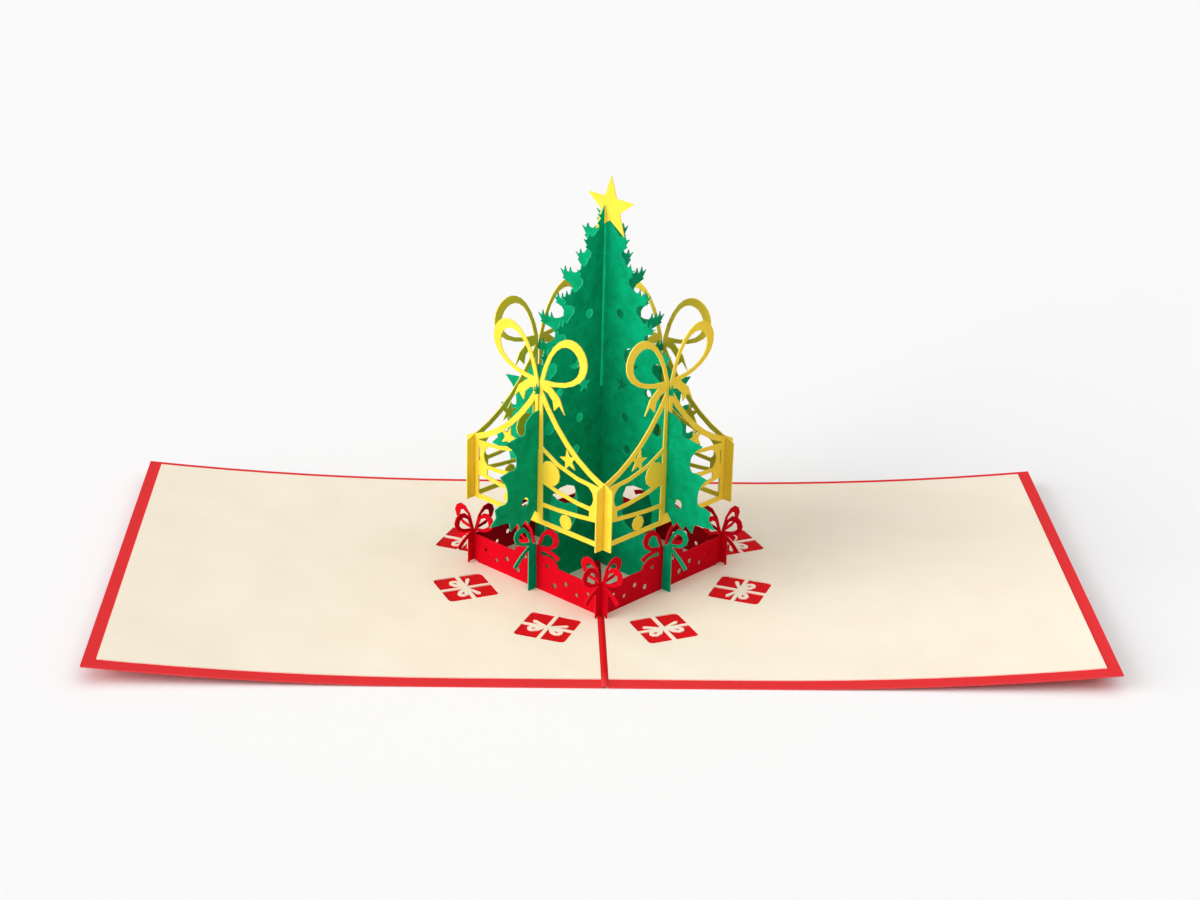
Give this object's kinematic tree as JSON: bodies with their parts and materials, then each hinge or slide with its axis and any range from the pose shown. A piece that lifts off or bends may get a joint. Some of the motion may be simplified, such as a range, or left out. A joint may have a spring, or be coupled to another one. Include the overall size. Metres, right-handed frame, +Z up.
{
  "type": "pop up card",
  "caption": "Open pop up greeting card with red cover, cream pages and a slotted-paper green fir tree ringed by yellow garlands and a low red ribbon wall.",
  "frame": {"origin": "middle of the open card's rectangle, on the table plane under the cover", "axes": "+X across the fold towards the right page, +Y along the fold away from the reader, +Z up"},
  "size_m": [0.3, 0.15, 0.1287],
  "materials": {
    "cover_red": "matte",
    "liner_cream": "matte",
    "tree_green": "matte",
    "trim_yellow": "matte",
    "box_red": "matte"
  },
  "bodies": {
    "root": {"cover": "cover_red", "left_liner": "liner_cream", "right_liner": "liner_cream", "tree_panel_a": "tree_green", "tree_panel_b": "tree_green", "star": "trim_yellow", "garland_front_left": "trim_yellow", "box_front_left": "box_red", "garland_front_right": "trim_yellow", "box_front_right": "box_red", "garland_back_right": "trim_yellow", "box_back_right": "box_red", "garland_back_left": "trim_yellow", "box_back_left": "box_red"}
  },
  "joints": []
}
